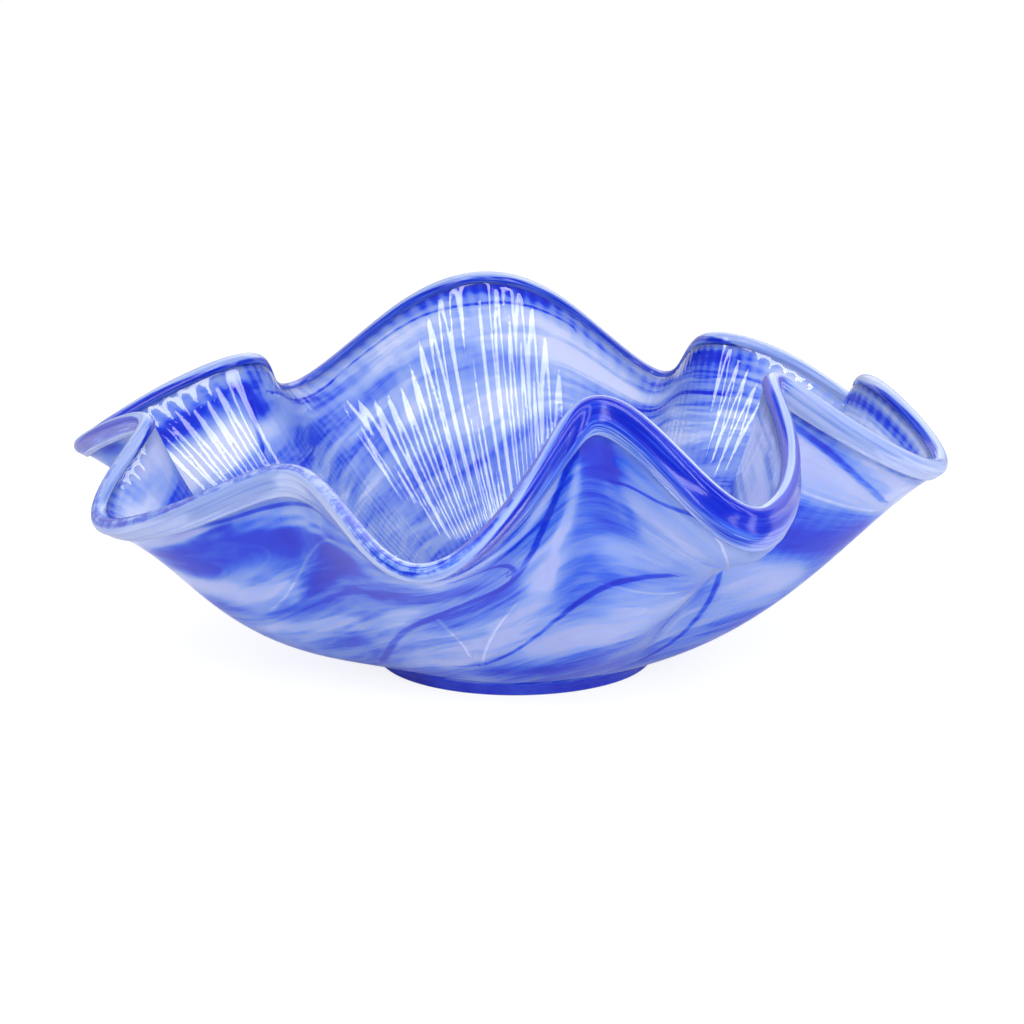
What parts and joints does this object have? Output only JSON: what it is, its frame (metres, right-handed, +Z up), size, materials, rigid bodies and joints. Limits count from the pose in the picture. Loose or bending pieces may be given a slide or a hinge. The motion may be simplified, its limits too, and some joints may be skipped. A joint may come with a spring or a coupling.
{
  "type": "art glass bowl",
  "caption": "Wide low bowl of blue and white swirled cased glass with a deeply ruffled rim, a clear lip and a flat ground foot.",
  "frame": {"origin": "middle of the ground face that the bowl stands on", "axes": "+Z up out of the bowl, -Y to the front, +X to the right seen from the front"},
  "size_m": [0.4009, 0.3605, 0.158],
  "materials": {
    "clear_glass": "fire polished, smooth outside and finely ribbed inside",
    "colour_glass": "translucent cobalt blue swirled with milky white",
    "lip_glass": "fire polished, pale lilac clear glass",
    "foot_glass": "ground flat and polished, cobalt tinted"
  },
  "bodies": {
    "root": {"foot_disc": "foot_glass", "outer_casing": "clear_glass", "colour_layer": "colour_glass", "inner_lining": "clear_glass", "lip_wrap": "lip_glass"}
  },
  "joints": []
}
